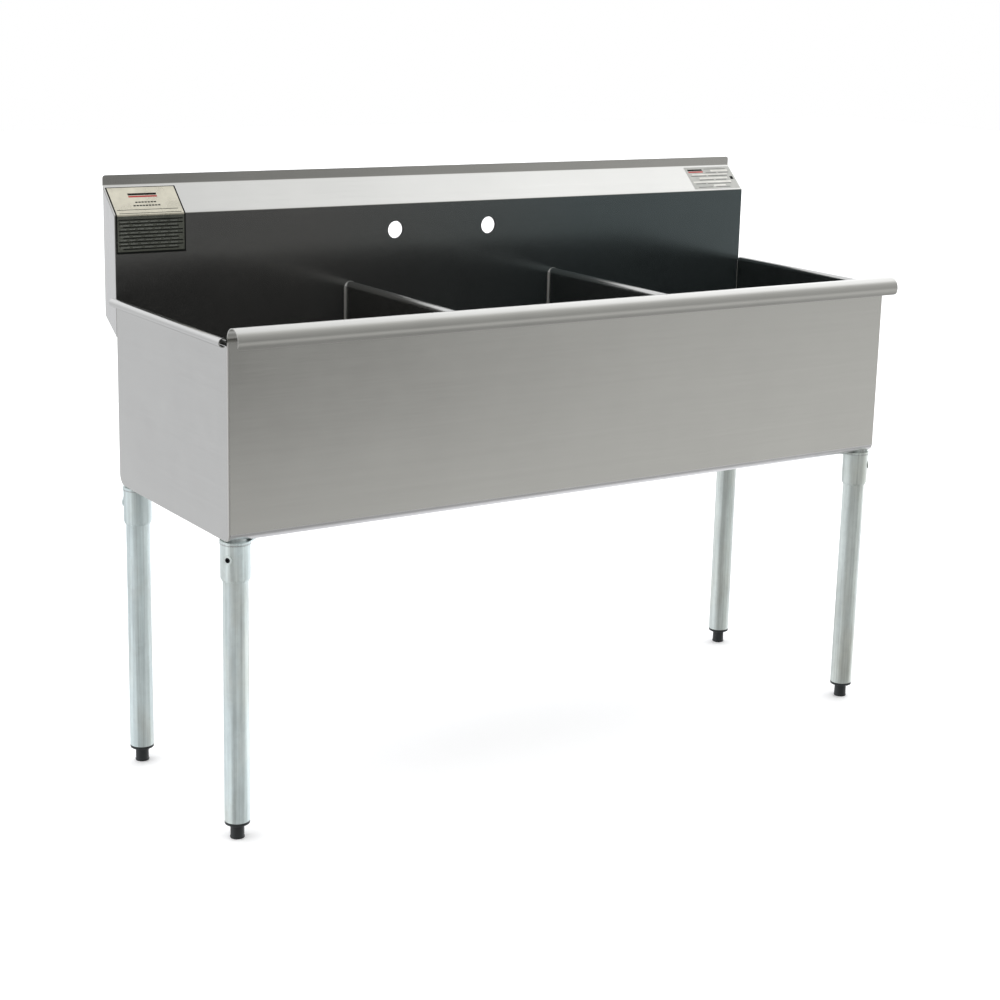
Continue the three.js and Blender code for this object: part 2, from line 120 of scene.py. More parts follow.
# ---------- Outlines in two dimensions ----------


def arc(cx, cy, radius, start, end, step=ARC_STEP):
    """Points on an arc between two angles in degrees."""
    count = max(2, math.ceil(abs(end - start) / step))
    angles = [math.radians(start + (end - start) * i / count) for i in range(count + 1)]
    return [Vector((cx + radius * math.cos(a), cy + radius * math.sin(a))) for a in angles]


def rounded(corners, step=ARC_STEP):
    """A polyline of (x, y) or (x, y, radius) corners, each with a radius turned into an arc."""
    path = []
    for i, (x, y, *radius) in enumerate(corners):
        corner = Vector((x, y))
        if not radius:
            path.append(corner)
            continue
        before = (Vector(corners[i - 1][:2]) - corner).normalized()
        after = (Vector(corners[(i + 1) % len(corners)][:2]) - corner).normalized()
        half = before.angle(after) / 2
        middle = corner + (before + after).normalized() * radius[0] / math.sin(half)
        tangent = radius[0] / math.tan(half)
        first = corner + before * tangent - middle
        last = corner + after * tangent - middle
        start = math.degrees(math.atan2(first.y, first.x))
        turn = math.degrees(math.atan2(last.y, last.x)) - start
        turn = (turn + 180) % 360 - 180
        path += arc(middle.x, middle.y, radius[0], start, start + turn, step)
    return path


def moved_sideways(path, distances):
    """A path moved to its left as it runs, by one distance or by one for each point."""
    if not isinstance(distances, (list, tuple)):
        distances = [distances] * len(path)
    moved = []
    for i, (point, distance) in enumerate(zip(path, distances)):
        incoming = (point - path[i - 1]).normalized() if i else None
        outgoing = (path[i + 1] - point).normalized() if i < len(path) - 1 else incoming
        incoming = incoming or outgoing
        along = (incoming + outgoing).normalized()
        reach = distance / along.dot(incoming)
        moved.append(point + Vector((-along.y, along.x)) * reach)
    return moved


# ---------- Meshes ----------


def new_object(name, verts, faces):
    """A mesh object with merged vertices and faces that agree on which side is out."""
    mesh = bpy.data.meshes.new(name)
    mesh.from_pydata([tuple(v) for v in verts], [], faces)
    made = bmesh.new()
    made.from_mesh(mesh)
    bmesh.ops.remove_doubles(made, verts=made.verts, dist=1e-6)
    loose = [v for v in made.verts if not v.link_faces]
    bmesh.ops.delete(made, geom=loose, context="VERTS")
    bmesh.ops.recalc_face_normals(made, faces=made.faces)
    made.to_mesh(mesh)
    made.free()
    thing = bpy.data.objects.new(name, mesh)
    bpy.context.scene.collection.objects.link(thing)
    return thing


def remove(thing):
    mesh = thing.data
    bpy.data.objects.remove(thing)
    bpy.data.meshes.remove(mesh)


def apply_modifiers(thing):
    """Puts what the modifiers make into the mesh."""
    shape = thing.evaluated_get(bpy.context.evaluated_depsgraph_get())
    mesh = bpy.data.meshes.new_from_object(shape)
    old = thing.data
    thing.modifiers.clear()
    thing.data = mesh
    bpy.data.meshes.remove(old)
    return thing


def thicken(thing, thickness, offset=0.0):
    """Gives an open surface the thickness of its sheet."""
    solid = thing.modifiers.new("sheet", "SOLIDIFY")
    solid.thickness = thickness
    solid.offset = offset
    solid.use_even_offset = True
    return apply_modifiers(thing)


def soften(thing, angle=35):
    """Smooth shading that keeps the real edges sharp and the flats flat."""
    thing.data.shade_smooth()
    thing.data.set_sharp_from_angle(angle=math.radians(angle))
    normals = thing.modifiers.new("normals", "WEIGHTED_NORMAL")
    normals.keep_sharp = True
    return apply_modifiers(thing)


def round_edges(thing, width, segments=2, angle=40):
    bevel = thing.modifiers.new("edges", "BEVEL")
    bevel.width = width
    bevel.segments = segments
    bevel.limit_method = "ANGLE"
    bevel.angle_limit = math.radians(angle)
    return apply_modifiers(thing)


def combine(thing, others, operation):
    """Joins or cuts a closed mesh with other closed meshes, which are then removed."""
    for other in others:
        boolean = thing.modifiers.new(operation, "BOOLEAN")
        boolean.operation = operation
        boolean.solver = "EXACT"
        boolean.object = other
        apply_modifiers(thing)
        remove(other)
    return thing


def grid(rows, closed_rows=False, closed_columns=False):
    """Vertices and quads of a grid given as rows of points."""
    width = len(rows[0])
    verts = [point for row in rows for point in row]
    faces = []
    for i in range(len(rows) if closed_rows else len(rows) - 1):
        for j in range(width if closed_columns else width - 1):
            a, b = i * width, (i + 1) % len(rows) * width
            k = (j + 1) % width
            faces.append((a + j, a + k, b + k, b + j))
    return verts, faces


def add_part(verts, faces, more, quads):
    """Adds a part's vertices and faces to those of a mesh."""
    faces += [tuple(index + len(verts) for index in face) for face in quads]
    verts += more


def point_round(place, radius, angle, z=0.0):
    """A point at an angle round an upright axis through a place."""
    return (place[0] + radius * math.cos(angle), place[1] + radius * math.sin(angle), z)


def lathe(name, profile, place, sides=64, closed=False):
    """A profile of (radius, height) points turned round an upright axis through a place."""
    turns = [2 * math.pi * j / sides for j in range(sides)]
    rows = [[point_round(place, radius, a, height) for a in turns] for radius, height in profile]
    return new_object(name, *grid(rows, closed_rows=closed, closed_columns=True))


def prism(name, outline, low, high, turn=Matrix.Identity(4)):
    """A closed outline in X and Y raised between two heights, then turned into place."""
    count = len(outline)
    verts = [turn @ Vector((p[0], p[1], z)) for z in (low, high) for p in outline]
    faces = [tuple(range(count)), tuple(range(count, 2 * count))]
    faces += [(i, (i + 1) % count, count + (i + 1) % count, count + i) for i in range(count)]
    return new_object(name, verts, faces)


def steps_from(x, y, steps):
    """Points given as steps in millimetres from one point."""
    return [(x + across * MM, y + up * MM) for across, up in steps]


def circle(radius, sides, x=0.0, y=0.0):
    return [point_round((x, y), radius, 2 * math.pi * i / sides) for i in range(sides)]


def finish_piece(thing, material, body, slot, *nodes, angle=35):
    """Gives a finished mesh its shading, material, body and place in the frame."""
    soften(thing, angle)
    thing.data.materials.clear()
    thing.data.materials.append(material)
    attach(thing, body)
    if nodes:
        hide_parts(*nodes)
    return thing


# ---------- Materials ----------


def new_material(name):
    """A material with its Principled shader and the coordinates of the object."""
    material = bpy.data.materials.new(name)
    material.use_nodes = True
    nodes = material.node_tree.nodes
    shader = nodes["Principled BSDF"]
    coordinates = nodes.new("ShaderNodeTexCoord")
    return material, material.node_tree, shader, coordinates.outputs["Object"]


def add_node(tree, kind, inputs):
    """A new node's outputs. Each input is a plain value or another node's output."""
    node = tree.nodes.new(f"ShaderNode{kind}")
    for name, value in inputs.items():
        if isinstance(value, bpy.types.NodeSocket):
            tree.links.new(value, node.inputs[name])
        else:
            node.inputs[name].default_value = value
    return node.outputs


def stretched_noise(tree, coordinates, scale, detail):
    """Noise stretched by a different scale along each axis, in cells a metre."""
    stretched = add_node(tree, "Mapping", {"Vector": coordinates, "Scale": scale})["Vector"]
    noise = {"Vector": stretched, "Scale": 1, "Detail": detail, "Roughness": 0.6}
    return add_node(tree, "TexNoise", noise)["Fac"]


def between(tree, value, low, high, start=0.3, end=0.7):
    """A value that runs from low to high while another runs from start to end."""
    spread = {"Value": value, "From Min": start, "From Max": end, "To Min": low, "To Max": high}
    return add_node(tree, "MapRange", spread)["Result"]


def total(tree, first, *others):
    """The sum of several values."""
    for other in others:
        first = add_node(tree, "Math", {0: first, 1: other})["Value"]
    return first


def tinted(tree, colour, factor):
    """A colour made lighter or darker by a factor that varies over the surface."""
    scale = tree.nodes.new("ShaderNodeVectorMath")
    scale.operation = "SCALE"
    scale.inputs[0].default_value = colour
    tree.links.new(factor, scale.inputs["Scale"])
    return scale.outputs["Vector"]


def blended(tree, first, second, factor):
    """A colour that goes from the first to the second."""
    return add_node(tree, "MixRGB", {"Fac": factor, "Color1": first, "Color2": second})["Color"]


def bumped(tree, height, distance, strength, under=None):
    """A surface direction with bumps, which may lie on top of other bumps."""
    bump = {"Height": height, "Distance": distance, "Strength": strength}
    if under:
        bump["Normal"] = under
    return add_node(tree, "Bump", bump)["Normal"]


def surface(tree, shader, colour, roughness, normal, metallic):
    """Connects what varies over a material, and sets how metallic it is."""
    tree.links.new(colour, shader.inputs["Base Color"])
    tree.links.new(roughness, shader.inputs["Roughness"])
    tree.links.new(normal, shader.inputs["Normal"])
    shader.inputs["Metallic"].default_value = metallic


PAINTED_TINT_SPAN = (-0.32, 0.28)  # where the painted reflection tint goes over to its right-end colour, along X


def brushed_steel(name, colour, roughness, along, anisotropy=0.4, metallic=1.0, painted_right_end=None):
    """Satin stainless sheet: fine scratches along one axis, faint smudges and slow waves."""
    material, tree, shader, place = new_material(name)
    grain = [20 if axis == along else 1500 for axis in "XYZ"]
    streak = [1.2 if axis == along else 110 for axis in "XYZ"]
    fine = stretched_noise(tree, place, grain, 2)
    streaks = stretched_noise(tree, place, streak, 4)
    smudges = stretched_noise(tree, place, (7, 7, 7), 3)
    waves = stretched_noise(tree, place, (2.6, 2.6, 2.6), 1)
    shade = total(tree, between(tree, streaks, 0.988, 1.012), between(tree, fine, -0.02, 0.02),
                  between(tree, smudges, -0.03, 0.03))
    tone = tinted(tree, colour, shade)
    # Painted reflection tint: the colour goes over to painted_right_end along X.
    if painted_right_end:
        along_x = add_node(tree, "SeparateXYZ", {"Vector": place})["X"]
        tone = blended(tree, tone, tinted(tree, painted_right_end, shade),
                       between(tree, along_x, 0, 1, *PAINTED_TINT_SPAN))
    rough = total(tree, between(tree, smudges, roughness - 0.015, roughness + 0.02),
                  between(tree, fine, -0.015, 0.015))
    slow = bumped(tree, waves, 1.5 * MM, 0.3)
    surface(tree, shader, tone, rough, bumped(tree, fine, 0.01 * MM, 0.2, slow), metallic)
    direction = add_node(tree, "CombineXYZ", {along: 1})["Vector"]
    tree.links.new(direction, shader.inputs["Tangent"])
    shader.inputs["Anisotropic"].default_value = anisotropy
    return material


def galvanised_steel(name, cool, warm, roughness, metallic):
    """Zinc-coated steel: lines drawn along its length, faint crystals and duller clouds."""
    material, tree, shader, place = new_material(name)
    crystals = add_node(tree, "TexVoronoi", {"Vector": place, "Scale": 110})["Color"]
    chance = add_node(tree, "SeparateColor", {"Color": crystals})
    drawn = stretched_noise(tree, place, (240, 240, 3), 3)
    lines = stretched_noise(tree, place, (90, 90, 1.5), 2)
    cloud = stretched_noise(tree, place, (14, 14, 5), 4)
    patches = stretched_noise(tree, place, (55, 55, 11), 4)
    shade = total(tree, between(tree, drawn, 0.85, 1.15), between(tree, lines, -0.14, 0.14),
                  between(tree, patches, -0.10, 0.10),
                  between(tree, chance["Red"], -0.02, 0.02, 0, 1))
    tone = blended(tree, tinted(tree, cool, shade), tinted(tree, warm, shade),
                   between(tree, cloud, 0, 1, 0.45, 0.75))
    rough = total(tree, between(tree, cloud, roughness - 0.05, roughness + 0.08),
                  between(tree, chance["Green"], -0.012, 0.012, 0, 1))
    surface(tree, shader, tone, rough, bumped(tree, drawn, 0.03 * MM, 0.25), metallic)
    return material


def polished_steel(name, colour, roughness):
    """Turned and polished steel with rings too fine to count."""
    material, tree, shader, place = new_material(name)
    rings = stretched_noise(tree, place, (90, 90, 900), 3)
    spots = stretched_noise(tree, place, (40, 40, 40), 4)
    surface(tree, shader, tinted(tree, colour, between(tree, spots, 0.93, 1.04)),
            between(tree, rings, roughness - 0.05, roughness + 0.07),
            bumped(tree, rings, 0.03 * MM, 0.3), 1)
    return material


def moulded(name, colour, roughness, grain=0.2, cells=900, metallic=0.0, specular=0.5):
    """Plastic, rubber or film: an even colour with a fine grain and a few duller patches."""
    material, tree, shader, place = new_material(name)
    fine = stretched_noise(tree, place, (cells, cells, cells), 2)
    patches = stretched_noise(tree, place, (30, 30, 30), 4)
    surface(tree, shader, tinted(tree, colour, between(tree, patches, 0.85, 1.15)),
            between(tree, patches, roughness - 0.06, roughness + 0.08),
            bumped(tree, fine, 0.05 * MM, grain), metallic)
    shader.inputs["Specular IOR Level"].default_value = specular
    return material


TUB_STEEL = brushed_steel("tub_steel", (0.60, 0.597, 0.570), 0.17, "X")
ROLLED_STEEL = brushed_steel("rolled_steel", (0.60, 0.597, 0.570), 0.30, "X")
# Painted highlight: a lighter copy of the tub steel for the outside of the bottom bends.
HIGHLIGHT_BEND_STEEL = brushed_steel("painted_highlight_steel", (0.83, 0.825, 0.83), 0.34, "X")
# Painted dark reflection: a darkened copy of the steel for the splash face and the bowls' back
# walls, bluer towards the right.
DARK_REFLECTION_STEEL = brushed_steel("painted_dark_reflection_steel", (0.158, 0.158, 0.154), 0.21, "X", metallic=0.78,
                            painted_right_end=(0.106, 0.130, 0.135))
WALL_STEEL = brushed_steel("wall_steel", (0.60, 0.60, 0.585), 0.18, "Y")
GROUND_STEEL = brushed_steel("ground_steel", (0.74, 0.73, 0.70), 0.42, "Z", 0.2)
CAP_STEEL = brushed_steel("cap_steel", (0.72, 0.72, 0.71), 0.26, "Z")
COOL_ZINC = galvanised_steel("cool_zinc", (0.73, 0.825, 0.83), (0.72, 0.75, 0.70), 0.34, 0.76)
DULL_ZINC = galvanised_steel("dull_zinc", (0.745, 0.81, 0.785), (0.73, 0.76, 0.70), 0.34, 0.9)
WELD_ZINC = galvanised_steel("weld_zinc", (0.62, 0.66, 0.66), (0.60, 0.60, 0.57), 0.5, 0.9)
DRAIN_STEEL = polished_steel("drain_steel", (0.66, 0.66, 0.67), 0.18)
# Black oxide for the set screws, and the painted shade round the faucet holes.
BLACK_OXIDE_AND_SHADE = moulded("black_oxide", (0.025, 0.025, 0.026), 0.35, 0.3, 1500, 0.8)
BLACK_PLASTIC = moulded("black_plastic", (0.020, 0.023, 0.025), 0.42)
RUBBER = moulded("gasket_rubber", (0.018, 0.018, 0.018), 0.75)
FIBRE = moulded("fibre", (0.62, 0.56, 0.44), 0.85, 0.5, 400)
CREAM_FILM = moulded("cream_film", (0.65, 0.62, 0.51), 0.30, 0.05, 500, 0.85)
# Painted dark reflection: a darkened copy of the label film for its part on the splash face.
DARK_REFLECTION_FILM = moulded("painted_dark_reflection_film", (0.19, 0.20, 0.17), 0.20, 0.05, 500, 0.9)
SILVER_FILM = moulded("silver_film", (0.46, 0.46, 0.43), 0.38, 0.05, 500, 0.9)
DARK_INK = moulded("dark_ink", (0.008, 0.009, 0.008), 0.5, 0.05, specular=0.1)
RED_INK = moulded("red_ink", (0.42, 0.03, 0.025), 0.4, 0.05)
GREY_INK = moulded("grey_ink", (0.16, 0.165, 0.15), 0.4, 0.05)
LIGHT_INK = moulded("light_ink", (0.72, 0.71, 0.66), 0.4, 0.05)

# ---------- Tub sheet ----------


def corner_radius(y):
    """Radius of the weld between an end wall and the tub, smaller up the back."""
    start, end = CORNER_CHANGE
    t = min(max((y - start) / (end - start), 0), 1)
    t = t * t * (3 - 2 * t)
    return CORNER_RADIUS + (BACK_CORNER_RADIUS - CORNER_RADIUS) * t


def bowl_path():
    """Middle line of the sheet from the foot of the front rim, under the bowls and up the back."""
    return rounded([
        (FRONT + HALF, CURL_Z),
        (FRONT + HALF, BOTTOM + HALF, FRONT_BEND),
        (FACE + HALF, BOTTOM + HALF, BACK_BEND),
        (FACE + HALF, CURL_Z),
    ])


def lip_point(turn):
    """A point of the front rim's lip, a number of degrees below the rim's front."""
    angle = math.radians(180 + turn)
    return Vector((ROLL_Y - ROLL + LIP_CURL * (1 + math.cos(angle)),
                   ROLL_Z + LIP_CURL * math.sin(angle)))


def tub_rows():
    """The tub's middle line as (point, gap left at each end for the welded corner)."""
    step = 0.4 * MM
    lip = [lip_point(LIP_TURN * (1 - i / LIP_STEPS)) for i in range(LIP_STEPS)]
    rim = lip + arc(ROLL_Y, ROLL_Z, ROLL, 180, 0)
    rim.append(Vector((FRONT + HALF, CURL_Z + step)))
    splash = [Vector((FACE + HALF, CURL_Z + step))]
    splash += rounded([
        (FACE + HALF, SPLASH_TOP - 0.05),
        (FACE + HALF, SPLASH_TOP, SPLASH_BEND),
        (BACK - HALF, SLOPE_TOP, SPLASH_BEND),
        (BACK - HALF, UPSTAND_TOP - 8 * MM),
        (BACK - HALF, UPSTAND_TOP),
    ])
    rows = [(point, 0.0) for point in rim]
    rows += [(point, HALF + corner_radius(point.x)) for point in bowl_path()]
    return rows + [(point, 0.0) for point in splash]


def tub_sheet():
    steps = [0, 0.5, 1.2, 2.2, 3.5, 5, 8]
    ends = [value * MM for value in steps] + [CORNER_STRIP]
    rows = []
    tub = tub_rows()
    for i, (point, inset) in enumerate(tub):
        shrink = (CORNER_STRIP - inset) / CORNER_STRIP
        row = []
        for side in (-1, 1):
            part = []
            for end in ends:
                y, z = point
                if i < LIP_STEPS:
                    lost = math.degrees(corner_drop(end, LIP_CORNER) / LIP_CURL)
                    y, z = lip_point((LIP_TURN - lost) * (1 - i / LIP_STEPS))
                if i == len(tub) - 1:
                    z -= corner_drop(end, UPSTAND_CORNER)
                part.append((side * (RIGHT - inset - end * shrink), y, z))
            row += part if side < 0 else part[::-1]
        rows.append(row)
    tub = thicken(new_object("tub", *grid(rows)), SHEET)
    across = Matrix.Rotation(math.pi / 2, 4, "X")
    past = 10 * MM
    holes = []
    for x in FAUCET_X:
        outline = circle(FAUCET_HOLE / 2 + 0.5 * MM, 64, x, FAUCET_Z)
        holes.append(prism("hole", outline, -FACE - past, -FACE + past, across))
    for x in BOWLS.values():
        outline = circle(DRAIN_HOLE / 2, 72, x, MIDDLE)
        holes.append(prism("hole", outline, BOTTOM - past, FLOOR + past))
    combine(tub, holes, "DIFFERENCE")
    finish_piece(tub, TUB_STEEL, "sink", "stainless", "tub_sheet")
    for material in (DARK_REFLECTION_STEEL, ROLLED_STEEL, HIGHLIGHT_BEND_STEEL):
        tub.data.materials.append(material)
    for face in tub.data.polygons:
        above_wall = face.center.z > ROLL_Z and face.center.y < MIDDLE
        if above_wall or face.center.y < FRONT - HALF:
            face.material_index = 2
        # The outside of the bottom bends gets the painted highlight.
        outside = face.normal.z < -0.12 and 0.12 < abs(face.normal.y) < 0.99
        if outside and face.center.z < BOTTOM + BACK_BEND:
            face.material_index = 3
        # The splash face and the faucet holes' edges get the painted dark reflection.
        on_splash = abs(face.center.y - FACE) < HALF and face.normal.y < -0.9
        in_hole = abs(face.center.y - FACE - HALF) < HALF and abs(face.normal.y) < 0.5
        high = face.center.z > FLOOR + BACK_BEND
        inside = abs(face.center.x) < RIGHT - CORNER_STRIP
        if high and (on_splash or in_hole and inside and face.center.z < SPLASH_TOP - SHEET):
            face.material_index = 1


def faucet_hole_shade_ring(name, x):
    """A dark ring of painted shade round a faucet hole, behind the sheet."""
    radius = FAUCET_HOLE / 2
    profile = [(radius - 0.1 * MM, 0),
               *steps_from(radius, HOLE_SHADE_DEPTH, [(-0.1, 0), (0.6, 0), (1.2, -0.6)]),
               *steps_from(radius, SHEET, [(1.2, 0), (0.4, 0)]), (radius + 0.4 * MM, 0)]
    lip = lathe(f"faucet_hole_shade_ring_{name}", profile, (0, 0), 64, closed=True)
    lip.data.transform(Matrix.Translation((x, FACE, FAUCET_Z))
                       @ Matrix.Rotation(-math.pi / 2, 4, "X"))
    finish_piece(lip, BLACK_OXIDE_AND_SHADE, "sink", "stainless")


def corner_drop(end, radius):
    """How far a rounded corner's edge has dropped at a distance from the end."""
    if end >= radius:
        return 0
    return radius - math.sqrt(radius ** 2 - (radius - end) ** 2)


# ---------- End walls and dividers ----------


def weld_rings(path, radii, steps, start=0):
    """Rings of a rounded weld: (path moved in, distance still to go) from the tub to the wall."""
    rings = []
    for k in range(steps + 1):
        angle = math.radians(start + (90 - start) * k / steps)
        inward = moved_sideways(path, [r * (1 - math.cos(angle)) for r in radii])
        rings.append((inward, [r * (1 - math.sin(angle)) for r in radii]))
    return rings


def end_wall(name, side):
    """A flat wall with rounded welds below and its top rolled outwards."""
    wall_x = side * (RIGHT - HALF)
    path = bowl_path()
    radii = [corner_radius(point.x) for point in path]
    rows = [[(wall_x - side * gap, p.x, p.y) for p, gap in zip(inward, away)]
            for inward, away in weld_rings(path, radii, 8)]
    verts, faces = grid(rows)
    faces.append(tuple(range(len(verts) - len(path), len(verts))))
    radius = SIDE_RIM / 2 - HALF
    depths = [rows[-1][0][1], rows[-1][-1][1]]
    turns = range(0, SIDE_RIM_TURN + 1, ARC_STEP)
    curl = [[(wall_x + side * radius * (1 - math.cos(math.radians(a))), y,
              CURL_Z + radius * math.sin(math.radians(a))) for y in depths] for a in turns]
    add_part(verts, faces, *grid(curl))
    wall = thicken(new_object(name, verts, faces), SHEET)
    finish_piece(wall, WALL_STEEL, "sink", "stainless", f"end_{name}")
    wall.data.materials.append(GROUND_STEEL)
    for face in wall.data.polygons:
        turned = max(abs(part) for part in face.normal) < 0.97
        if turned and face.center.z < CURL_Z - HALF and abs(face.center.x) < RIGHT:
            face.material_index = 1


def divider(name, x):
    """Two walls joined by a round top, with coved welds to the tub all round."""
    path = moved_sideways(bowl_path(), HALF)
    radii = [COVE_RADIUS] * len(path)
    cove_steps, first = 6, 10
    verts, faces = [], []
    for side in (-1, 1):
        rows = [[(x + side * (DIVIDER_HALF + gap), p.x, p.y) for p, gap in zip(inward, away)]
                for inward, away in weld_rings(path, radii, cove_steps, first)]
        more, quads = grid(rows)
        quads.append(tuple(range(len(more) - len(path), len(more))))
        add_part(verts, faces, more, quads)
    rows = []
    top_steps = 24
    for i in range(top_steps + 1):
        angle = math.radians(180 * i / top_steps)
        cove = COVE_RADIUS * (1 - 0.95 * math.sin(angle))
        row = []
        for wall_y, side in ((path[0].x, 1), (path[-1].x, -1)):
            part = []
            for k in range(cove_steps + 1):
                turn = math.radians(first + (90 - first) * k / cove_steps)
                radius = DIVIDER_HALF + cove * (1 - math.sin(turn))
                y = wall_y + side * cove * (1 - math.cos(turn))
                part.append((x + radius * math.cos(angle), y, CURL_Z + radius * math.sin(angle)))
            row += part if side > 0 else part[::-1]
        rows.append(row)
    add_part(verts, faces, *grid(rows))
    wall = new_object(f"bowl_divider_{name}", verts, faces)
    outer = max(wall.data.polygons, key=lambda face: face.area)
    outwards = outer.normal.x * (outer.center.x - x) > 0
    thicken(wall, DIVIDER_SHEET, -1 if outwards else 1)
    finish_piece(wall, WALL_STEEL, "sink", "stainless", f"divider_{name}")
    wall.data.materials.append(GROUND_STEEL)
    for face in wall.data.polygons:
        in_cove = abs(face.center.x - x) > DIVIDER_HALF + 0.1 * MM
        if in_cove and face.center.z < CURL_Z - DIVIDER_HALF - 4 * MM:
            face.material_index = 1


# ---------- Splash end caps ----------


def end_cap(name, side):
    """A plate under the end of the slope, with its back edge bent inwards."""
    node = f"splash_end_cap_{name}"
    low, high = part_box(node)
    flange = high.x - low.x
    bend = 2 * MM
    slope = (SLOPE_TOP - SPLASH_TOP) / (SPLASH_RETURN - SHEET)
    under = (HALF + 0.3 * MM) * math.hypot(1, slope) + 1 * MM
    back_bottom = 796 * MM
    inside = RIGHT - HALF
    plan = rounded([(inside, low.y), (inside, BACK - HALF, bend), (RIGHT - flange, BACK - HALF)])
    rows = []
    for point in plan:
        y = point.y
        t = (y - low.y) / (BACK - low.y)
        bottom = low.z + t * (back_bottom - low.z)
        top = SPLASH_TOP + (min(y, BACK - SHEET) - FACE - HALF) * slope - under
        rows.append([(side * point.x, y, bottom), (side * point.x, y, top)])
    cap = thicken(new_object(f"end_cap_{name}", *grid(rows)), SHEET)
    finish_piece(cap, CAP_STEEL, "sink", "stainless", node)


# ---------- Legs ----------

LEG_RADIUS = 41.3 * MM / 2
LEG_WALL = 1.6 * MM
SOCKET_RADIUS = 48.3 * MM / 2
SOCKET_TAPER = 5 * MM
PLATE_MARGIN = 1 * MM
PLATE_REACH = 62 * MM
PLATE_CUT = 12 * MM
WELD_BEAD = 1.3 * MM
SADDLE_INSET = 4 * MM  # from the tub's outer face to the front of a saddle
SADDLE_WIDTH = 0.999  # of the width where a saddle would come to a point
SADDLE_DEPTH = 0.1 * MM  # how far a saddle sinks into what it joins
SET_SCREW_ANGLE = math.radians(35)
SET_SCREW = 8 * MM
SET_SCREW_HEX = 4 * MM
THREAD_PITCH = 2 * MM
COLLAR_EDGE = [(-3.6, 0), (-1.4, 0.3), (-0.4, 0.9), (0, 1.7)]  # of the collar under a leg
SHOE_EDGE = [(-1.2, 0), (-0.3, 0.4), (0, 1.2), (0, 2.6), (-0.4, 3.2)]
SHOE_TOP = [(-0.25, -1.6), (-0.8, -0.4), (-1.8, 0)]


def threaded_rod(name, radius, low, high, place, pitch, depth, sides=32):
    """A rod with a screw thread: its radius follows a helix, and its ends taper off."""
    rise = pitch / 6
    levels = math.ceil((high - low) / rise)
    rows = [[(place[0], place[1], low)] * sides]
    for i in range(levels + 1):
        z = low + (high - low) * i / levels
        taper = min(1, (z - low) / pitch, (high - z) / pitch)
        row = []
        for j in range(sides):
            turn = j / sides
            wave = abs(((z - low) / pitch - turn) % 1 - 0.5) * 2
            thinned = radius - depth * (1 - taper * wave)
            row.append(point_round(place, thinned, 2 * math.pi * turn, z))
        rows.append(row)
    rows.append([(place[0], place[1], high)] * sides)
    return new_object(name, *grid(rows, closed_columns=True))


def along_screw(place, sides, z):
    """The turn that lays an upright prism along a leg's set screw."""
    direction = Vector((sides[0] * math.cos(SET_SCREW_ANGLE),
                        sides[1] * math.sin(SET_SCREW_ANGLE), 0))
    turn = Vector((0, 0, 1)).rotation_difference(direction).to_matrix().to_4x4()
    return Matrix.Translation((place[0], place[1], z)) @ turn


def leg_zinc(sides):
    """The two left legs have a brighter, bluer coat than the two right ones."""
    return COOL_ZINC if sides[0] < 0 else DULL_ZINC


def leg(name):
    place = middle_of(f"leg_{name}")
    sides = (math.copysign(1, place.x), math.copysign(1, place.y - MIDDLE))
    tube_low, tube_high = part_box(f"leg_{name}")
    inner = LEG_RADIUS - LEG_WALL
    round_off = 0.5 * MM
    tube = lathe(f"leg_tube_{name}", [
        (inner, tube_low.z + round_off), (inner + round_off, tube_low.z),
        (LEG_RADIUS - round_off, tube_low.z), (LEG_RADIUS, tube_low.z + round_off),
        (LEG_RADIUS, tube_high.z), (inner, tube_high.z)], place, 72, closed=True)
    finish_piece(tube, leg_zinc(sides), "sink", "galvanised", f"leg_{name}")
    plate(name, place, sides)
    socket(name, place, sides)
    foot(name, place)


def plate(name, place, sides):
    """The mounting plate: round outside the socket, with a tongue in under the bowl."""
    low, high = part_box(f"leg_plate_{name}")
    outwards = math.degrees(math.atan2(sides[1], sides[0]))
    rim = arc(place.x, place.y, SOCKET_RADIUS + PLATE_MARGIN, outwards - 90, outwards + 90)
    inwards = -Vector(sides).normalized()
    across = (rim[-1] - rim[0]).normalized()
    tongue = [(-1, PLATE_REACH - PLATE_CUT, 0), (-1, PLATE_REACH, -PLATE_CUT),
              (0, PLATE_REACH, PLATE_CUT), (0, PLATE_REACH - PLATE_CUT, 0)]
    outline = rim + [rim[end] + inwards * reach + across * shift for end, reach, shift in tongue]
    made = round_edges(prism(f"mounting_plate_{name}", outline, low.z, high.z), 0.6 * MM)
    finish_piece(made, leg_zinc(sides), "sink", "galvanised", f"leg_plate_{name}")
    saddle(name, place, sides, high.z)


def saddle(name, place, sides, bottom):
    """Weld metal that fills the gap between the mounting plate and the bend above it."""
    bend = BACK_BEND if sides[1] > 0 else FRONT_BEND
    outside = FACE + SHEET if sides[1] > 0 else FRONT
    start = outside - sides[1] * (HALF + bend)
    radius = abs(outside - place.y) - SADDLE_INSET
    half = SADDLE_WIDTH * math.sqrt(radius ** 2 - (start - place.y) ** 2)
    columns, steps = 32, 10
    rows = []
    for i in range(columns + 1):
        x = -half * math.cos(math.pi * i / columns)
        end = place.y + sides[1] * math.sqrt(radius ** 2 - x ** 2)
        depths = [start + (end - start) * k / steps for k in range(steps + 1)]
        row = [(place.x + x, y, bottom - SADDLE_DEPTH) for y in depths]
        for y in reversed(depths):
            drop = math.sqrt((bend + HALF) ** 2 - (y - start) ** 2)
            row.append((place.x + x, y, BOTTOM + HALF + bend - drop + SADDLE_DEPTH))
        rows.append(row)
    verts, faces = grid(rows, closed_columns=True)
    count = len(rows[0])
    faces += [tuple(range(count)), tuple(range(len(verts) - count, len(verts)))]
    filler = new_object(f"saddle_{name}", verts, faces)
    finish_piece(filler, WELD_ZINC, "sink", "galvanised")


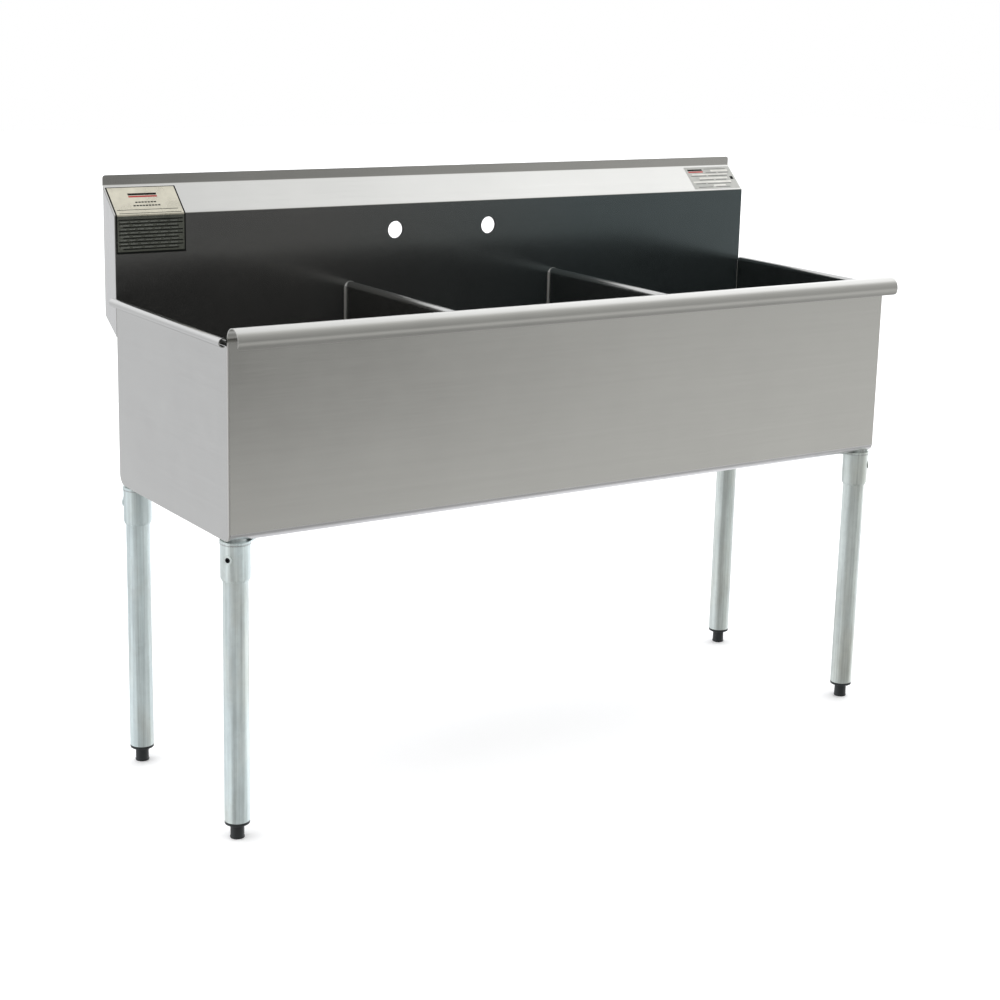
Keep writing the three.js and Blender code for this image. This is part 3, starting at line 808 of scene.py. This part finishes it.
def weld_bead(name, place, radius, z):
    """A rippled ring of weld round a tube."""
    around, sides = 144, 12
    rows = []
    for i in range(around):
        turn = 2 * math.pi * i / around
        thick = WELD_BEAD * (1 + 0.12 * math.sin(48 * turn) + 0.10 * math.sin(5 * turn + 1))
        row = []
        for j in range(sides):
            tilt = 2 * math.pi * j / sides
            row.append(point_round(place, radius + thick * math.cos(tilt), turn,
                                   z + thick * math.sin(tilt)))
        rows.append(row)
    bead = new_object(name, *grid(rows, closed_rows=True, closed_columns=True))
    finish_piece(bead, WELD_ZINC, "sink", "galvanised")


def socket(name, place, sides):
    """The socket, with a weld bead at its top and a boss for the set screw."""
    low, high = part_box(f"leg_socket_{name}")
    bore = LEG_RADIUS + 0.3 * MM
    profile = [(bore, low.z), (bore + 0.8 * MM, low.z), (SOCKET_RADIUS, low.z + SOCKET_TAPER),
               (SOCKET_RADIUS, high.z), (bore, high.z)]
    weld_bead(f"weld_{name}", place, SOCKET_RADIUS - 0.4 * MM, high.z - 0.5 * MM)
    body = lathe(f"socket_{name}", profile, place, 72, closed=True)
    screw_low, screw_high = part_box(f"set_screw_{name}")
    turn = along_screw(place, sides, (screw_low.z + screw_high.z) / 2)
    boss = round_edges(prism("boss", circle(SET_SCREW, 32), bore + 1 * MM,
                             SOCKET_RADIUS + 1.2 * MM, turn), 0.4 * MM)
    combine(body, [boss], "UNION")
    hole = prism("hole", circle(SET_SCREW / 2 + 0.3 * MM, 32), 0, SOCKET_RADIUS + 5 * MM, turn)
    combine(body, [hole], "DIFFERENCE")
    finish_piece(body, leg_zinc(sides), "sink", "galvanised", f"leg_socket_{name}")
    screw = prism(f"grub_screw_{name}", circle(SET_SCREW / 2, 32), bore,
                  SOCKET_RADIUS + 1.6 * MM, turn)
    hexagon = prism("hexagon", circle(SET_SCREW_HEX / math.sqrt(3), 6),
                    SOCKET_RADIUS - 2 * MM, SOCKET_RADIUS + 3 * MM, turn)
    combine(screw, [hexagon], "DIFFERENCE")
    round_edges(screw, 0.3 * MM, 2, 60)
    finish_piece(screw, BLACK_OXIDE_AND_SHADE, "sink", "black_oxide", f"set_screw_{name}")


def foot(name, place):
    """The plastic insert in the leg, the threaded stud and the shoe on the floor."""
    low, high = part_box(f"foot_insert_{name}")
    stud_low, stud_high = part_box(f"foot_stud_{name}")
    stud = (stud_high.x - stud_low.x) / 2
    bore = stud + 0.3 * MM
    flange = low.z + 5 * MM
    sleeve = LEG_RADIUS - LEG_WALL - 0.3 * MM
    insert = lathe(f"insert_{name}", [
        (bore, low.z), *steps_from(LEG_RADIUS, low.z, COLLAR_EDGE), (LEG_RADIUS, flange),
        (sleeve, flange), (sleeve, high.z), (bore, high.z)], place, 72, closed=True)
    finish_piece(insert, BLACK_PLASTIC, "sink", "black_plastic", f"foot_insert_{name}")
    rod = threaded_rod(f"stud_{name}", stud, stud_low.z, stud_high.z, place,
                       THREAD_PITCH, 0.9 * MM)
    finish_piece(rod, BLACK_PLASTIC, f"foot_lift_{name}", "black_plastic",
                 f"foot_stud_{name}")
    low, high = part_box(f"foot_shoe_{name}")
    ring = (high.x - low.x) / 2
    barrel = 11.5 * MM
    seat = stud_low.z - 0.3 * MM
    shoe = lathe(f"shoe_{name}", [
        (0, 0), *steps_from(ring, 0, SHOE_EDGE), (barrel, 3.8 * MM),
        *steps_from(barrel, high.z, SHOE_TOP), (bore, high.z), (bore, seat), (0, seat)],
        place, 64)
    finish_piece(shoe, BLACK_PLASTIC, f"foot_{name}", "black_plastic", f"foot_shoe_{name}")


# ---------- Drains ----------


def drain(name, x):
    place = Vector((x, MIDDLE, 0))
    low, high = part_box(f"drain_body_{name}")
    top = high.z
    flange = (high.x - low.x) / 2
    seat = FLOOR + 0.3 * MM
    cup = DRAIN_HOLE / 2 - 2 * MM
    wall = 2 * MM
    inside = cup - wall
    bottom = top - 46 * MM
    spigot = 23.5 * MM
    body = lathe(f"strainer_{name}", [
        (spigot - wall, low.z), (spigot - 0.4 * MM, low.z), (spigot, low.z + 0.6 * MM),
        (spigot, bottom - 2 * MM), (spigot + 2 * MM, bottom),
        *arc(cup - 6 * MM, bottom + 6 * MM, 6 * MM, -90, 0, 15),
        (cup, seat), (flange - 0.4 * MM, seat),
        *arc(flange - 1.2 * MM, top - 1.2 * MM, 1.2 * MM, 0, 90, 30),
        *arc(inside + 2.5 * MM, top - 2.5 * MM, 2.5 * MM, 90, 180, 15),
        *arc(inside - 6 * MM, bottom + 8 * MM, 6 * MM, 0, -90, 15),
        (spigot - wall, bottom + wall)], place, 96, closed=True)
    bars = []
    for turn in (0, math.pi / 2):
        reach, half = spigot - 1 * MM, 1.5 * MM
        outline = [(-reach, -half), (reach, -half), (reach, half), (-reach, half)]
        spin = Matrix.Translation(place) @ Matrix.Rotation(turn, 4, "Z")
        lift = 0.2 * MM if turn else 0.25 * MM
        bars.append(prism("bar", outline, bottom + lift, bottom + wall - lift, spin))
    combine(body, bars, "UNION")
    finish_piece(body, DRAIN_STEEL, "sink", "polished_steel", f"drain_body_{name}")
    flat_ring(name, "gasket", place, RUBBER, "gasket_rubber")
    flat_ring(name, "washer", place, FIBRE, "fibre")
    locknut(name, place)
    basket(name, place)


def edged_ring(name, place, outer, bottom, top, edge):
    """A ring that fits round a strainer body, with its outer edges cut off."""
    return lathe(name, [
        (NUT_BORE, bottom), (outer - edge, bottom), (outer, bottom + edge), (outer, top - edge),
        (outer - edge, top), (NUT_BORE, top)], place, 96, closed=True)


def flat_ring(name, kind, place, material, slot):
    low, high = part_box(f"drain_{kind}_{name}")
    outer = (high.x - low.x) / 2
    ring = edged_ring(f"{kind}_{name}", place, outer, low.z, high.z, 0.4 * MM)
    finish_piece(ring, material, "sink", slot, f"drain_{kind}_{name}")


def locknut(name, place):
    """The big nut under the bowl, with lugs to tap it round."""
    low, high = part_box(f"drain_locknut_{name}")
    outer = LOCKNUT_RADIUS
    nut = edged_ring(f"locknut_{name}", place, outer, low.z, high.z, 1 * MM)
    lugs = []
    outline = steps_from(outer, 0, [(-3, -7), (4.6, -5.5), (4.6, 5.5), (-3, 7)])
    for i in range(6):
        spin = Matrix.Translation(place) @ Matrix.Rotation(math.radians(60 * i), 4, "Z")
        lug = prism("lug", outline, low.z + 0.3 * MM, high.z - 0.3 * MM, spin)
        lugs.append(round_edges(lug, 0.6 * MM))
    combine(nut, lugs, "UNION")
    finish_piece(nut, DRAIN_STEEL, "sink", "polished_steel", f"drain_locknut_{name}")


KNOB = [(2.6, -9), (4, -8), (7.4, -6.6), (8, -5.4), (8, -2.4), (7.2, -0.8), (5.6, 0), (0, 0)]


def basket(name, place):
    """The lift-out basket: a perforated cup with a rolled rim, a post and a knob."""
    low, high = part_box(f"drain_basket_{name}")
    rim = (high.x - low.x) / 2
    wall = 1.2 * MM
    shoulder = high.z - 14 * MM
    outside = [(0, low.z), *arc(rim - 9 * MM, low.z + 4 * MM, 4 * MM, -90, -10, 15),
               *steps_from(rim, shoulder, [(-3, -5), (-1, -4), (0, -3.4), (-0.6, -2.8)])]
    inside = [(rim - 1.5 * MM, shoulder - 3 * MM), (rim - 3.5 * MM - wall, shoulder - 4 * MM),
              (rim - 6.4 * MM, low.z + 5 * MM), (rim - 9 * MM, low.z + wall),
              (4 * MM, low.z + wall)]
    knob = [(2.6 * MM, low.z + 2.4 * MM), *steps_from(0, high.z, KNOB)]
    cup = lathe(f"basket_{name}", outside + inside + knob, place, 72)
    cutters = []
    for ring, count in ((12 * MM, 8), (20 * MM, 12), (28 * MM, 18)):
        for i in range(count):
            turn = 2 * math.pi * (i + 0.5) / count
            spot = circle(BASKET_HOLE / 2, 12, *point_round(place, ring, turn)[:2])
            cutters.append(prism("hole", spot, low.z - 2 * MM, low.z + 3 * MM))
    combine(cup, [join_meshes(cutters)], "DIFFERENCE")
    finish_piece(cup, DRAIN_STEEL, f"basket_{name}", "polished_steel", f"drain_basket_{name}")


def join_meshes(things):
    """Several meshes as one object."""
    joined_mesh = bmesh.new()
    for thing in things:
        joined_mesh.from_mesh(thing.data)
    first = things[0]
    joined_mesh.to_mesh(first.data)
    joined_mesh.free()
    for thing in things[1:]:
        remove(thing)
    return first


# ---------- Labels ----------

FILM_LIFT = 0.05 * MM
FILM = 0.2 * MM
INK = 0.05 * MM
SLOPE_LENGTH = math.hypot(SLOPE_TOP - SPLASH_TOP, SPLASH_RETURN - SHEET)


def film_line(lift):
    """The splash's outer surface as a path: up the face, over the bend and up the slope."""
    line = rounded([
        (FACE + HALF, SPLASH_TOP - 0.2),
        (FACE + HALF, SPLASH_TOP, SPLASH_BEND),
        (BACK - HALF, SLOPE_TOP),
    ])
    return moved_sideways(line, HALF + lift)


def piece_of(line, start, end):
    """The stretch of a path between two distances from the bend's middle."""
    lengths = [0]
    for a, b in zip(line, line[1:]):
        lengths.append(lengths[-1] + (b - a).length)
    bend = lengths[1] + (lengths[-2] - lengths[1]) / 2
    wanted = sorted([start + bend, end + bend] + [value for value in lengths
                                                  if start + bend < value < end + bend])
    points = []
    for distance in wanted:
        for i in range(len(line) - 1):
            if lengths[i] <= distance <= lengths[i + 1]:
                t = (distance - lengths[i]) / (lengths[i + 1] - lengths[i])
                points.append(line[i].lerp(line[i + 1], t))
                break
    return points


def film(spans, lift, thickness):
    """Verts and faces of thin patches, each (start, end, low x, high x) on the splash."""
    verts, faces = [], []
    for start, end, low, high in spans:
        bottom = piece_of(film_line(lift), start, end)
        top = piece_of(film_line(lift + thickness), start, end)
        count = len(bottom)
        left, left_top, right, right_top = (len(verts) + k * count for k in range(4))
        for x in (low, high):
            verts += [(x, p.x, p.y) for p in bottom + top]
        strips = ((left, right), (left_top, right_top), (left, left_top), (right, right_top))
        for i in range(count - 1):
            faces += [(a + i, a + i + 1, b + i + 1, b + i) for a, b in strips]
        for i in (0, count - 1):
            faces.append((left + i, right + i, right_top + i, left_top + i))
    return verts, faces


def film_piece(name, spans, lift, thickness, material, slot, *nodes):
    return finish_piece(new_object(name, *film(spans, lift, thickness)), material, "sink", slot,
                        *nodes)


def left_label():
    """A film folded over the splash's edge, with plain printed bars in place of words."""
    low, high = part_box("label_left")
    left, right = low.x, high.x
    middle, width = (left + right) / 2, right - left
    down = -66 * MM
    up = SLOPE_LENGTH - 6 * MM
    fold = 2 * MM
    edge = 2.5 * MM
    film_piece("left_film", [(down, up, left, right)], FILM_LIFT, FILM, CREAM_FILM,
               "clear_film", "label_left")
    # The part on the splash face is covered with the painted dark reflection.
    film_piece("left_film_face", [(down, -fold, left, right)], FILM_LIFT + FILM, INK,
               DARK_REFLECTION_FILM, "clear_film")

    def print_on(name, spans, material):
        film_piece(f"left_film_{name}", spans, FILM_LIFT + FILM + INK, INK, material,
                   "clear_film")

    border = [(down, down + 1.5 * edge, left, right), (up - edge / 2, up, left, right),
              (down + 1.5 * edge, up - edge / 2, left, left + edge),
              (down + 1.5 * edge, up - edge / 2, right - edge, right)]
    print_on("border", border, DARK_INK)
    block = up * 0.62
    stripe = (middle - 28 * MM, middle + 24 * MM)
    print_on("mark", [(block, block + 3.4 * MM, *stripe)], RED_INK)
    bars = [(block + 4.6 * MM, block + 9 * MM, *stripe)]
    for start, count in ((0.42, 7), (0.30, 9)):
        for i in range(count):
            x = middle + (i - count / 2) * 5.6 * MM
            bars.append((up * start, up * start + 2.6 * MM, x, x + 4.2 * MM))
    bars += [(up * 0.17, up * 0.17 + 1 * MM, left + 6 * MM, right - 10 * MM),
             (fold + 1 * MM, fold + 2 * MM, left + 8 * MM, right - 6 * MM)]
    for i in range(9):
        start = down + 7 * MM + i * 6.2 * MM
        reach = width * (0.46 if i % 3 else 0.40)
        bars.append((start, start + 2 * MM, middle - reach, middle + reach))
    print_on("lines", bars, DARK_INK)
    light = []
    for i in range(8):
        start = down + 10.2 * MM + i * 6.2 * MM
        count = 5 + i % 3
        step = width * 0.86 / count
        for k in range(count):
            light.append((start, start + 1.3 * MM, left + 8 * MM + k * step,
                          left + 6 * MM + (k + 0.8) * step))
    print_on("light_lines", light, GREY_INK)


def right_label():
    """A film on the slope with plain printed bars."""
    low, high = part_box("label_right")
    tall = 58 * MM
    start = (SLOPE_LENGTH - tall) / 2
    film_piece("right_film", [(start, start + tall, low.x, high.x)], FILM_LIFT, FILM,
               SILVER_FILM, "silver_film", "label_right")
    width = high.x - low.x

    def print_on(name, rows, material):
        """Bars given as (start, height, left, right) in parts of the film."""
        bars = [(start + f * tall, start + (f + h) * tall, low.x + a * width, low.x + b * width)
                for f, h, a, b in rows]
        film_piece(f"right_film_{name}", bars, FILM_LIFT + FILM, INK, material, "silver_film")

    light = [(0.78, 0.08, 0.55, 0.93), (0.63, 0.05, 0.10, 0.88), (0.45, 0.07, 0.22, 0.84),
             (0.28, 0.07, 0.04, 0.88), (0.12, 0.06, 0.45, 0.72)]
    print_on("light_lines", light, LIGHT_INK)
    dark = [(0.89, 0.025, 0.42, 0.90), (0.72, 0.03, 0.42, 0.66), (0.72, 0.03, 0.70, 0.93),
            (0.57, 0.04, 0.06, 0.40), (0.57, 0.04, 0.44, 0.86), (0.39, 0.035, 0.20, 0.52),
            (0.39, 0.035, 0.56, 0.80), (0.22, 0.035, 0.08, 0.30), (0.22, 0.035, 0.34, 0.86),
            (0.06, 0.035, 0.10, 0.42), (0.06, 0.035, 0.48, 0.80)]
    print_on("lines", dark, GREY_INK)
    print_on("mark", [(0.75, 0.06, 0.05, 0.37)], RED_INK)
    print_on("marks", [(0.83, 0.07, 0.05, 0.37), (0.40, 0.14, 0.90, 0.965)], DARK_INK)


# ---------- Studio ----------

# What the steel reflects, as (height of the direction, light) pairs
ROOM_FRONT_LEFT = [(-1.0, 0.40), (-0.6, 0.36), (-0.4, 0.66), (-0.28, 0.80), (-0.18, 0.30),
                   (-0.1, 0.33), (0.05, 0.37), (0.2, 0.44), (0.5, 0.52), (0.68, 0.64),
                   (0.77, 0.80), (1.0, 1.0)]
ROOM_FRONT_RIGHT = [(-1.0, 0.40), (-0.6, 0.34), (-0.4, 0.58), (-0.22, 0.71), (-0.15, 0.66),
                    (-0.11, 0.50), (0.0, 0.47), (0.2, 0.49), (0.5, 0.54), (0.68, 0.66),
                    (0.77, 0.85), (1.0, 1.0)]
ROOM_BACK = [(-1.0, 0.85), (-0.3, 1.12), (-0.15, 1.10), (0.0, 1.22), (0.15, 1.40), (0.3, 1.60),
             (0.6, 1.48), (1.0, 1.30)]
FRONT_TINT = (1.0, 1.0, 0.985)
BACK_TINT = (0.99, 0.997, 1.02)
ROOM_SCALE = 2.0  # a ramp's colours stop at one
FRONT_SIDES = (0.42, 0.69)  # from the front left ramp to the front right one, along X
FRONT_TO_BACK = (-0.35, -0.08)  # from the front ramps to the back one, along Y
RIGHT_SIDE = (0.36, 0.58)  # where the room grows lighter towards the right, along X
LEFT_LIGHT, RIGHT_LIGHT = 0.71, 1.08
FLOOR_WIDTH = 28
FLOOR_GLOW = 0.12
LAMP_POWER = 1.7
LAMP_SPREAD = math.radians(100)


def room_ramp(tree, height, heights, tint):
    """The light from a direction by its height."""
    ramp = tree.nodes.new("ShaderNodeValToRGB")
    while len(ramp.color_ramp.elements) < len(heights):
        ramp.color_ramp.elements.new(0.5)
    for element, (z, light) in zip(ramp.color_ramp.elements, heights):
        element.position = (z + 1) / 2
        element.color = [light / ROOM_SCALE * part for part in tint] + [1]
    tree.links.new(height, ramp.inputs["Fac"])
    return ramp.outputs["Color"]


def studio_world():
    """White behind the sink; what the steel reflects is a soft room, bright overhead."""
    world = bpy.data.worlds.new("studio")
    world.use_nodes = True
    bpy.context.scene.world = world
    tree = world.node_tree
    tree.nodes.clear()
    direction = add_node(tree, "TexCoord", {})["Generated"]
    split = add_node(tree, "SeparateXYZ", {"Vector": direction})
    height = between(tree, split["Z"], 0, 1, -1, 1)
    front = blended(tree, room_ramp(tree, height, ROOM_FRONT_LEFT, FRONT_TINT),
                    room_ramp(tree, height, ROOM_FRONT_RIGHT, FRONT_TINT),
                    between(tree, split["X"], 0, 1, *FRONT_SIDES))
    light = blended(tree, front, room_ramp(tree, height, ROOM_BACK, BACK_TINT),
                    between(tree, split["Y"], 0, 1, *FRONT_TO_BACK))
    side = between(tree, split["X"], LEFT_LIGHT * ROOM_SCALE, RIGHT_LIGHT * ROOM_SCALE,
                   *RIGHT_SIDE)
    room = add_node(tree, "Background", {"Color": light, "Strength": side})["Background"]
    white = add_node(tree, "Background", {"Color": (1, 1, 1, 1)})["Background"]
    to_camera = add_node(tree, "LightPath", {})["Is Camera Ray"]
    mix = add_node(tree, "MixShader", {"Fac": to_camera, 1: room, 2: white})["Shader"]
    add_node(tree, "OutputWorld", {"Surface": mix})


def studio_floor():
    """A wide pale floor with a hint of unevenness, and a glow that keeps the shadows faint."""
    step = FLOOR_WIDTH / 8
    rows = [[(x * step, y * step, 0) for x in range(-4, 5)] for y in range(-4, 5)]
    floor = new_object("studio_floor", *grid(rows))
    material, tree, shader, place = new_material("pale_floor")
    cloud = stretched_noise(tree, place, (3, 3, 3), 3)
    tree.links.new(tinted(tree, (0.97, 0.97, 0.97), between(tree, cloud, 0.995, 1.005)),
                   shader.inputs["Base Color"])
    shader.inputs["Roughness"].default_value = 0.9
    shader.inputs["Emission Color"].default_value = (1, 1, 1, 1)
    shader.inputs["Emission Strength"].default_value = FLOOR_GLOW
    floor.data.materials.append(material)
    floor.visible_glossy = False


def studio_lamp():
    """Soft light from overhead, as from a wide white ceiling."""
    lamp = bpy.data.lights.new("ceiling", "SUN")
    lamp.angle = LAMP_SPREAD
    lamp.energy = LAMP_POWER
    thing = bpy.data.objects.new("ceiling", lamp)
    thing.visible_glossy = False
    bpy.context.scene.collection.objects.link(thing)


def camera():
    """The photograph's view, which is turned, tilted and rolled a little."""
    lens = bpy.data.cameras.new("camera")
    lens.lens = CAMERA_LENS
    lens.sensor_width = 36
    lens.shift_x, lens.shift_y = CAMERA_SHIFT
    forward = Vector((math.sin(CAMERA_YAW) * math.cos(CAMERA_PITCH),
                      math.cos(CAMERA_YAW) * math.cos(CAMERA_PITCH), -math.sin(CAMERA_PITCH)))
    right = Vector((math.cos(CAMERA_YAW), -math.sin(CAMERA_YAW), 0))
    down = forward.cross(right)
    across = right * math.cos(CAMERA_ROLL) + down * math.sin(CAMERA_ROLL)
    below = down * math.cos(CAMERA_ROLL) - right * math.sin(CAMERA_ROLL)
    turn = Matrix((across, -below, -forward)).transposed().to_4x4()
    thing = bpy.data.objects.new("camera", lens)
    thing.matrix_world = Matrix.Translation(CAMERA_PLACE) @ turn
    bpy.context.scene.collection.objects.link(thing)
    bpy.context.scene.camera = thing


# ---------- Making ----------

bpy.context.scene.view_settings.view_transform = "Standard"
camera()
studio_world()
studio_floor()
studio_lamp()
tub_sheet()
for hole_name, hole_x in zip(("left", "right"), FAUCET_X):
    faucet_hole_shade_ring(hole_name, hole_x)
end_wall("wall_left", -1)
end_wall("wall_right", 1)
divider("left", DIVIDER_X[0])
divider("right", DIVIDER_X[1])
end_cap("left", -1)
end_cap("right", 1)
for leg_name in LEGS:
    leg(leg_name)
for bowl_name, bowl_x in BOWLS.items():
    drain(bowl_name, bowl_x)
left_label()
right_label()
